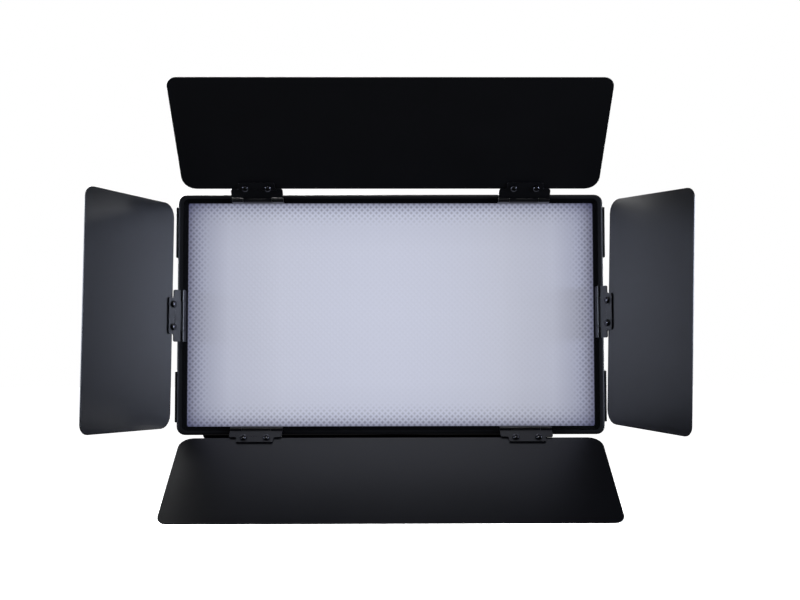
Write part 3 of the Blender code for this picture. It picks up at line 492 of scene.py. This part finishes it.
# CAD pieces whose shape is right: they get broken edges and their real finish
refined = {
    # node: slot, finish, edge width
    "front_frame": ("matt_black_frame", "mattPowderCoatOnAluminium", 0.3 * mm),
    "rear_housing": ("matt_black_frame", "mattPowderCoatOnAluminium", 0.4 * mm),
    "power_case": ("matt_black_frame", "mattPowderCoatOnAluminium", 0.5 * mm),
    "reflector_frame": ("white_reflector", "whiteReflectorPaint", 0.1 * mm),
    "led_board": ("white_board", "whiteSolderMask", 0.1 * mm),
    "heat_spreader": ("bare_aluminium", "brushedAluminium", 0.3 * mm),
    "driver_board": ("circuit_board", "greenSolderMask", 0.1 * mm),
    "control_panel": ("black_plastic", "texturedAbs", 0.3 * mm),
    "display_window": ("smoked_window", "smokedAcrylic", 0.2 * mm),
    "mode_button": ("black_plastic", "texturedAbs", 0.2 * mm),
    "switch_bezel": ("black_plastic", "texturedAbs", 0.2 * mm),
    "power_switch": ("black_plastic", "texturedAbs", 0.3 * mm),
    "stand_receiver": ("cast_receiver", "blackAnodisedCasting", 0.2 * mm),
    "tilt_bracket": ("matt_black_frame", "mattPowderCoatOnAluminium", 0.4 * mm),
    "tilt_bolt": ("black_steel", "blackenedSteel", 0.3 * mm),
    "clamp_screw": ("black_steel", "blackenedSteel", 0.3 * mm),
}
for side in ("left", "right"):
    for level in ("upper", "lower"):
        refined[f"{side}_{level}_clip"] = ("black_steel", "satinBlackOxideSteel", 0.3 * mm)
for side in ("top", "bottom", "left", "right"):
    refined[f"{side}_door"] = ("black_sheet", "satinPowderCoatOnSheet", 0.3 * mm)
for tag in ("top_1", "top_2", "bottom_1", "bottom_2", "left", "right"):
    refined[f"{tag}_frame_leaf"] = ("black_hinge", "satinBlackOxideSteel", 0.15 * mm)
    refined[f"{tag}_door_leaf"] = ("black_hinge", "satinBlackOxideSteel", 0.2 * mm)
    refined[f"{tag}_hinge_pin"] = ("black_steel", "blackenedSteel", 0.1 * mm)


mouth = {
    "reach": 4.2 * mm,  # from the window's edge
    "facing": 0.9,  # faces turned further to the front belong to the frame's flat
}


# painted shade: the mouth round the window gets a darker, duller black than the frame
def paintMouthShade(bm):
    windowLow, windowHigh = windowEdges()
    reach = mouth["reach"]
    for face in bm.faces:
        place = face.calc_center_median()
        inside = windowLow.x - reach < place.x < windowHigh.x + reach
        inside = inside and windowLow.z - reach < place.z < windowHigh.z + reach
        face.material_index = int(inside and abs(face.normal.y) < mouth["facing"])


def refine(node, slot, finish, width):
    bm = copyOf(node)
    coats = [finish]
    if node == "front_frame":
        coats.append("shadowBlackMouth")
        paintMouthShade(bm)
    roundEdges(bm, width)
    addPiece(bm, node + "_finished", bodyOf[node], slot, *coats, replaced=[node])


for refinedNode, values in refined.items():
    refine(refinedNode, *values)
print("refined pieces:", len(refined))


# a flat lattice turned by 45 degrees, cut to the sheet's outline, with a shallow pit in each cell
def makeDiffuser():
    low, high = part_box("diffuser")
    middle, size = (low + high) / 2, high - low
    reach = (size.x + size.z) / math.sqrt(2)
    cells = 2 * math.ceil(reach / prism["pitch"] / 2)
    bm = bmesh.new()
    bmesh.ops.create_grid(bm, x_segments=cells, y_segments=cells, size=cells * prism["pitch"] / 2)
    bmesh.ops.rotate(bm, verts=bm.verts, matrix=Matrix.Rotation(math.radians(45), 3, "Z"))
    cuts = []
    for x, y in ((1, 0), (-1, 0), (0, 1), (0, -1)):
        cuts.append((Vector((x * size.x / 2, y * size.z / 2, 0)), Vector((x, y, 0))))
    for x in (1, -1):
        for y in (1, -1):
            place = Vector((x * (size.x / 2 - prism["corner"]), y * size.z / 2, 0))
            cuts.append((place, Vector((x, y, 0)).normalized()))
    for place, normal in cuts:
        geometry = bm.verts[:] + bm.edges[:] + bm.faces[:]
        bmesh.ops.bisect_plane(bm, geom=geometry, plane_co=place, plane_no=normal, clear_outer=True)
    rim = [e for e in bm.edges if e.is_boundary]
    bmesh.ops.poke(bm, faces=bm.faces, offset=-prism["depth"])
    walls = bmesh.ops.extrude_edge_only(bm, edges=rim)["geom"]
    back = [v for v in walls if isinstance(v, bmesh.types.BMVert)]
    bmesh.ops.translate(bm, verts=back, vec=(0, 0, -size.y))
    bmesh.ops.holes_fill(bm, edges=[e for e in bm.edges if e.is_boundary])
    bmesh.ops.rotate(bm, verts=bm.verts, matrix=Matrix.Rotation(math.radians(90), 3, "X"))
    bmesh.ops.translate(bm, verts=bm.verts, vec=(middle.x, low.y, middle.z))
    bmesh.ops.recalc_face_normals(bm, faces=bm.faces)
    finish = "pressedPolycarbonatePaintedLight"
    sheet = addPiece(bm, "prism_sheet", "head", "opal_diffuser", finish, replaced=["diffuser"])
    # each pit keeps its flat facets
    sheet.modifiers.clear()
    sheet.data.shade_flat()


makeDiffuser()
print("diffuser ready")

# door screws: a pan head with a cross recess, and a thread whose tail holds a thin nut
screw = {
    "head": 3.35 * mm,
    "headHeight": 2.35 * mm,
    # the pan head's outline, in shares of its radius and height
    "pan": ((0.94, 0), (1, 0.08), (1, 0.38), (0.94, 0.6), (0.78, 0.82), (0.5, 0.96), (0, 1)),
    "shank": 1.5 * mm,
    "thread": 0.5 * mm,
    "root": 0.84,  # share of the shank's radius between two threads
    "tip": 0.72,
    "plain": 0.4 * mm,  # no thread this close under the head
    "neck": 0.1 * mm,
    "steps": 24,
    "recess": 1.7 * mm,  # reach of each arm
    "recessWidth": 0.85 * mm,
    "recessDepth": 1.2 * mm,
    "recessFloor": (0.45, 0.8),  # shares of the reach and width left at the bottom
    "nut": 2.75 * mm,
    "nutHeight": 1.0 * mm,
    "nutEdge": 0.15 * mm,
    "nutGap": 0.15 * mm,  # from the screw's end
    "nutPlay": 0.1 * mm,
    "turnEach": 37,  # degrees from one screw's recess to the next one's
}


# spins a profile of (radius, height) points about z; ends on the axis are closed
def spun(profile, steps):
    bm = bmesh.new()
    points = [bm.verts.new((radius, 0, height)) for radius, height in profile]
    edges = [bm.edges.new(pair) for pair in zip(points, points[1:])]
    bmesh.ops.spin(
        bm, geom=points + edges, cent=(0, 0, 0), axis=(0, 0, 1), angle=2 * math.pi, steps=steps,
        use_merge=True, use_duplicate=False,
    )
    bmesh.ops.remove_doubles(bm, verts=bm.verts, dist=0.001 * mm)
    bmesh.ops.recalc_face_normals(bm, faces=bm.faces)
    return bm


def meshOf(bm, name):
    mesh = bpy.data.meshes.new(name)
    bm.to_mesh(mesh)
    bm.free()
    return mesh


# takes the second mesh out of the first one
def cutBy(bm, cutter):
    body = bpy.data.objects.new("body", meshOf(bm, "body"))
    tool = bpy.data.objects.new("tool", meshOf(cutter, "tool"))
    for piece in (body, tool):
        scene.collection.objects.link(piece)
    cut = body.modifiers.new("cut", "BOOLEAN")
    cut.operation = "DIFFERENCE"
    cut.object = tool
    result = bmesh.new()
    result.from_object(body, bpy.context.evaluated_depsgraph_get())
    for piece in (body, tool):
        bpy.data.objects.remove(piece)
    return result


def screwMesh(length):
    tail = screw["headHeight"] - length
    head, high, shank = screw["head"], screw["headHeight"], screw["shank"]
    threads = int((-screw["plain"] - tail) / screw["thread"])
    profile = [(0, tail), (shank * screw["tip"], tail)]
    for i in range(threads):
        start = tail + (i + 0.25) * screw["thread"]
        profile += [(shank, start), (shank * screw["root"], start + screw["thread"] / 2)]
    profile += [(shank, -screw["neck"]), (shank, 0)]
    profile += [(head * out, high * up) for out, up in screw["pan"]]
    bm = spun(profile, screw["steps"])
    reachLeft, widthLeft = screw["recessFloor"]
    for turn in (0, 90):
        arm = bmesh.new()
        bmesh.ops.create_cube(arm, size=1)
        for vert in arm.verts:
            vert.co.x *= reachLeft if vert.co.z < 0 else 1
            vert.co.y *= widthLeft if vert.co.z < 0 else 1
        size = (screw["recess"] * 2, screw["recessWidth"], screw["recessDepth"] * 2)
        bmesh.ops.scale(arm, vec=size, verts=arm.verts)
        place = Matrix.Translation((0, 0, high)) @ Matrix.Rotation(math.radians(turn), 4, "Z")
        bmesh.ops.transform(arm, matrix=place, verts=arm.verts)
        bm = cutBy(bm, arm)
    return meshOf(bm, "screw")


def prismShape(radius, height, sides):
    bm = bmesh.new()
    bmesh.ops.create_cone(
        bm, cap_ends=True, segments=sides, radius1=radius, radius2=radius, depth=height,
    )
    return bm


def nutMesh():
    bm = prismShape(screw["nut"], screw["nutHeight"], 6)
    roundEdges(bm, screw["nutEdge"])
    bore = prismShape(screw["shank"] + screw["nutPlay"], screw["nutHeight"] * 3, screw["steps"])
    return meshOf(cutBy(bm, bore), "nut")


# the seat, the outward axis and the length of a CAD screw: its widest flat side is under the head
def screwAxis(node):
    bm = copyOf(node)
    widest = max(bm.faces, key=lambda face: face.calc_area())
    axis = -widest.normal.normalized()
    corners = [v.co for v in bm.verts]
    middle = sum(corners, Vector()) / len(corners)
    heights = [(corner - middle).dot(axis) for corner in corners]
    seat = middle + axis * (widest.calc_center_median() - middle).dot(axis)
    length = max(heights) - min(heights)
    bm.free()
    return seat, axis, length


def placeScrews():
    screws = [name for name in nodes if name.endswith(("_screw_a", "_screw_b"))]
    _, _, length = screwAxis(screws[0])
    shape, nut = screwMesh(length), nutMesh()
    for i, name in enumerate(sorted(screws)):
        seat, axis, _ = screwAxis(name)
        place = Matrix.Translation(seat) @ axis.to_track_quat("Z", "Y").to_matrix().to_4x4()
        turn = Matrix.Rotation(math.radians(screw["turnEach"] * i), 4, "Z")
        bm = bmesh.new()
        bm.from_mesh(shape)
        bmesh.ops.transform(bm, matrix=place @ turn, verts=bm.verts)
        addPiece(bm, name + "_finished", bodyOf[name], "black_steel", "glossBlackScrew", replaced=[name])
        down = screw["headHeight"] - length + screw["nutGap"] + screw["nutHeight"] / 2
        bm = bmesh.new()
        bm.from_mesh(nut)
        bmesh.ops.transform(bm, matrix=place @ turn @ Matrix.Translation((0, 0, down)), verts=bm.verts)
        addPiece(bm, name + "_nut", bodyOf[name], "black_steel", "blackenedSteel")
    bpy.data.meshes.remove(nut)
    return shape


screwShape = placeScrews()
print("door screws ready")

# fluted knobs, each on its own axis; radius and length come from the frame
knobs = {
    "steps": 48,
    "flute": 0.45 * mm,  # depth of each pressed-in strip
    "fluteRim": 0.12 * mm,
    "foot": 0.4 * mm,
    "band": 1.6 * mm,  # plain band under the flutes
    "taper": 0.3 * mm,
    "rim": 1.3 * mm,
    "rimShape": ((0.6, 0.25), (1.4, 0)),  # in and down, in shares of the rim
    "dishEdge": 2.2,  # in, in shares of the rim
    "dishStart": 0.25 * mm,
    "dish": 0.4 * mm,  # how deep its middle is
    "gap": 0.3 * mm,  # over the control panel
    "shaft": 3 * mm,
    "bore": 3.3 * mm,
    "tiltDepth": 11 * mm,  # of the bore
    "clampDepth": 8.4 * mm,
    "lineWidth": 0.8 * mm,
    "lineHeight": 0.3 * mm,
    "lineProud": 0.12 * mm,
    "lineEdge": 0.08 * mm,
    "lineLength": 0.62,  # in shares of the knob's radius
    "lineMiddle": 0.42,
}


# a knob along z from 0; the flutes are every other strip of its side, pressed in
def knobShape(radius, length, inner):
    rim, foot, band = knobs["rim"], knobs["foot"], knobs["band"]
    profile = inner + [(radius - foot, 0), (radius, foot), (radius, band)]
    profile += [(radius - knobs["taper"], length - rim)]
    profile += [(radius - rim * inward, length - rim * down) for inward, down in knobs["rimShape"]]
    profile += [(radius - rim * knobs["dishEdge"], length - knobs["dishStart"])]
    profile += [(0, length - knobs["dish"])]
    bm = spun(profile, knobs["steps"])
    strips = []
    for face in bm.faces:
        place = face.calc_center_median()
        if band < place.z < length - rim and place.xy.length > radius * 0.9:
            strips.append((math.atan2(place.y, place.x), face))
    strips.sort(key=lambda strip: strip[0])
    pressed = [face for _, face in strips[::2]]
    bmesh.ops.inset_individual(bm, faces=pressed, thickness=knobs["fluteRim"], depth=-knobs["flute"])
    return bm


def placeKnob(node, place, radius, length, inner):
    bm = knobShape(radius, length, inner)
    bmesh.ops.transform(bm, matrix=place, verts=bm.verts)
    addPiece(bm, node + "_finished", bodyOf[node], "black_plastic", "texturedAbs", replaced=[node])


# the white pointer line on top of a knob
def makePointer(node, place, radius, length):
    height = knobs["lineHeight"]
    bm = bmesh.new()
    bmesh.ops.create_cube(bm, size=1)
    size = (knobs["lineWidth"], radius * knobs["lineLength"], height)
    bmesh.ops.scale(bm, vec=size, verts=bm.verts)
    roundEdges(bm, knobs["lineEdge"])
    shift = (0, radius * knobs["lineMiddle"], length - height + knobs["lineProud"])
    bmesh.ops.transform(bm, matrix=place @ Matrix.Translation(shift), verts=bm.verts)
    addPiece(bm, node + "_mark", bodyOf[node], "white_reflector", "whitePrint")


ticks = {
    "count": 11,
    "sweep": 300,  # degrees, from the lowest to the highest setting
    "gap": 1.2 * mm,  # from the knob's side
    "width": 0.45 * mm,
    "height": 0.12 * mm,
    "short": 1.7 * mm,
    "long": 2.6 * mm,  # every fifth one
    "lift": 0.07 * mm,
}


# print on the control panel: plain ticks round each knob
def makeTicks(node, middle, radius):
    bm = bmesh.new()
    for i in range(ticks["count"]):
        tick = bmesh.ops.create_cube(bm, size=1)["verts"]
        length = ticks["short"] if i % 5 else ticks["long"]
        bmesh.ops.scale(bm, vec=(ticks["width"], ticks["height"], length), verts=tick)
        bmesh.ops.translate(bm, verts=tick, vec=(0, 0, radius + ticks["gap"] + length / 2))
        angle = ticks["sweep"] * (i / (ticks["count"] - 1) - 0.5)
        turn = Matrix.Rotation(math.radians(angle), 4, "Y")
        bmesh.ops.transform(bm, matrix=Matrix.Translation(middle) @ turn, verts=tick)
    addPiece(bm, node + "_ticks", "head", "white_reflector", "whitePrint")


# local z points backward and local x to the right as seen from behind
backward = Matrix(((-1, 0, 0, 0), (0, 0, 1, 0), (0, 1, 0, 0), (0, 0, 0, 1)))
sideways = Matrix.Rotation(math.radians(90), 4, "Y")


def makeKnobs():
    _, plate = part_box("control_panel")
    for node in ("brightness_knob", "colour_knob"):
        low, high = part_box(node)
        middle = (low + high) / 2
        start = plate.y + knobs["gap"]
        radius, length = (high.x - low.x) / 2, high.y - start
        place = Matrix.Translation((middle.x, start, middle.z)) @ backward
        shaft = [(0, low.y - start), (knobs["shaft"], low.y - start), (knobs["shaft"], 0)]
        placeKnob(node, place, radius, length, shaft)
        makePointer(node, place, radius, length)
        makeTicks(node, Vector((middle.x, plate.y + ticks["lift"], middle.z)), radius)
    for node, depth in (("tilt_knob", knobs["tiltDepth"]), ("clamp_knob", knobs["clampDepth"])):
        low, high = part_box(node)
        middle = (low + high) / 2
        place = Matrix.Translation((low.x, middle.y, middle.z)) @ sideways
        inside = [(0, depth), (knobs["bore"], depth), (knobs["bore"], 0)]
        placeKnob(node, place, (high.y - low.y) / 2, high.x - low.x, inside)


makeKnobs()
print("knobs ready")

inlet = {
    "halfWidth": 11 * mm,  # the contacts lie within these limits of the middle
    "halfHeight": 7 * mm,
    "contactArea": 60 * mm * mm,  # the inlet's floor is larger
    "edge": 0.2 * mm,
}


# the power inlet, with its three contacts in bare nickel
def makeInlet():
    bm = copyOf("power_socket")
    low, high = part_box("power_socket")
    middle = (low + high) / 2
    for face in bm.faces:
        offset = face.calc_center_median() - middle
        inside = abs(offset.x) < inlet["halfWidth"] and abs(offset.z) < inlet["halfHeight"]
        face.material_index = int(inside and face.calc_area() < inlet["contactArea"])
    roundEdges(bm, inlet["edge"])
    coats = ("texturedAbs", "nickelContact")
    body = bodyOf["power_socket"]
    addPiece(bm, "power_socket_finished", body, "black_plastic", *coats, replaced=["power_socket"])


caseScrews = {
    "top": 9 * mm,  # down from the housing's top edge, one in the middle and one to each side
    "topSide": 185 * mm,
    "low": 120 * mm,  # up from the housing's lower edge
    "lowSide": 198 * mm,
    "corner": 8 * mm,  # in from each corner of the power case
    "lift": 0.05 * mm,
    "cut": 0.01 * mm,  # what is deeper than this under the head is left out
    "turnEach": 29,
}


# pan-head screws that hold the housing and the power case together
def makeCaseScrews():
    housingLow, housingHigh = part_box("rear_housing")
    caseLow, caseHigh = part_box("power_case")
    top, low = housingHigh.z - caseScrews["top"], housingLow.z + caseScrews["low"]
    topSide, lowSide, corner = caseScrews["topSide"], caseScrews["lowSide"], caseScrews["corner"]
    places = [(x, housingHigh.y, top) for x in (-topSide, 0, topSide)]
    places += [(x, housingHigh.y, low) for x in (-lowSide, lowSide)]
    for x in (caseLow.x + corner, caseHigh.x - corner):
        for z in (caseLow.z + corner, caseHigh.z - corner):
            places.append((x, caseHigh.y, z))
    for i, spot in enumerate(places):
        bm = bmesh.new()
        bm.from_mesh(screwShape)
        below = [v for v in bm.verts if v.co.z < -caseScrews["cut"]]
        bmesh.ops.delete(bm, geom=below, context="VERTS")
        bmesh.ops.holes_fill(bm, edges=[e for e in bm.edges if e.is_boundary])
        lift = Matrix.Translation((spot[0], spot[1] + caseScrews["lift"], spot[2])) @ backward
        turn = Matrix.Rotation(math.radians(caseScrews["turnEach"] * i), 4, "Z")
        bmesh.ops.transform(bm, matrix=lift @ turn, verts=bm.verts)
        bmesh.ops.recalc_face_normals(bm, faces=bm.faces)
        addPiece(bm, f"case_screw_{i + 1}", "head", "black_steel", "glossBlackScrew")


makeInlet()
makeCaseScrews()
print("inlet and case screws ready")
